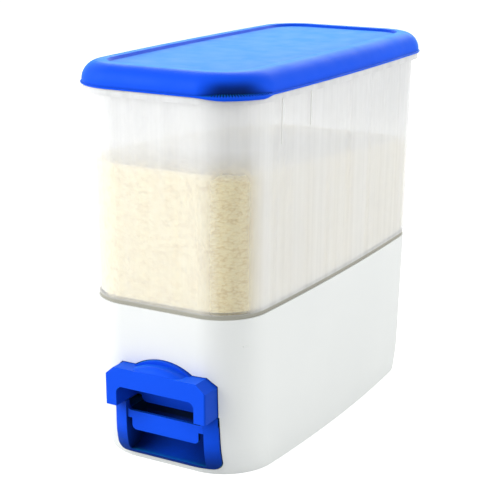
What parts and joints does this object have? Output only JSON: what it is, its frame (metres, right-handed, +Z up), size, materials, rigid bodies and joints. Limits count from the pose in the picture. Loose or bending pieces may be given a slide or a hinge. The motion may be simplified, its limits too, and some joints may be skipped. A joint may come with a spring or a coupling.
{
  "type": "rice dispenser with drawer",
  "caption": "Tall narrow rice hopper with a lift-off lid on an opaque base; a pull-out measuring slide drops one measure into a drawer below it.",
  "frame": {"origin": "middle of the underside of the base, where it rests", "axes": "+Z up, +X to the right seen from the front, the front with the slide and the drawer faces -Y"},
  "size_m": [0.1962, 0.4, 0.36],
  "materials": {
    "blue_plastic": "satin moulded polypropylene, deep blue",
    "white_plastic": "fine satin moulded plastic, white",
    "frosted_plastic": "frosted translucent polypropylene",
    "natural_plastic": "uncoloured translucent polypropylene",
    "grey_rubber": "soft grey elastomer",
    "rice_grains": null,
    "steel": "zinc-plated steel"
  },
  "bodies": {
    "base": {"base_shell": "white_plastic", "base_floor": "white_plastic", "floor_screws": "steel", "chassis": "white_plastic", "chassis_screws": "steel", "drawer_runner_left": "white_plastic", "drawer_runner_right": "white_plastic", "slide_rail_left": "white_plastic", "slide_rail_right": "white_plastic", "rail_screws": "steel", "drawer_stops": "white_plastic", "seam_gasket": "grey_rubber"},
    "hopper": {"hopper": "frosted_plastic", "hopper_funnel": "natural_plastic", "outlet_seal": "grey_rubber", "rice": "rice_grains"},
    "lid": {"lid": "blue_plastic", "lid_seal": "grey_rubber"},
    "measure": {"measure_slide": "natural_plastic", "outlet_shutter": "natural_plastic", "slide_handle": "blue_plastic", "handle_screws": "steel"},
    "drawer": {"drawer_front": "blue_plastic", "drawer_tray": "natural_plastic"}
  },
  "joints": [
    {"name": "hopper_lift", "type": "slide", "parent": "base", "child": "hopper", "axis": [0, 0, 1], "range_m": [0, 0.09]},
    {"name": "lid_lift", "type": "slide", "parent": "hopper", "child": "lid", "axis": [0, 0, 1], "range_m": [0, 0.1]},
    {"name": "measure_pull", "type": "slide", "parent": "base", "child": "measure", "axis": [0, -1, 0], "range_m": [0, 0.076]},
    {"name": "drawer_pull", "type": "slide", "parent": "base", "child": "drawer", "axis": [0, -1, 0], "range_m": [0, 0.15]}
  ]
}
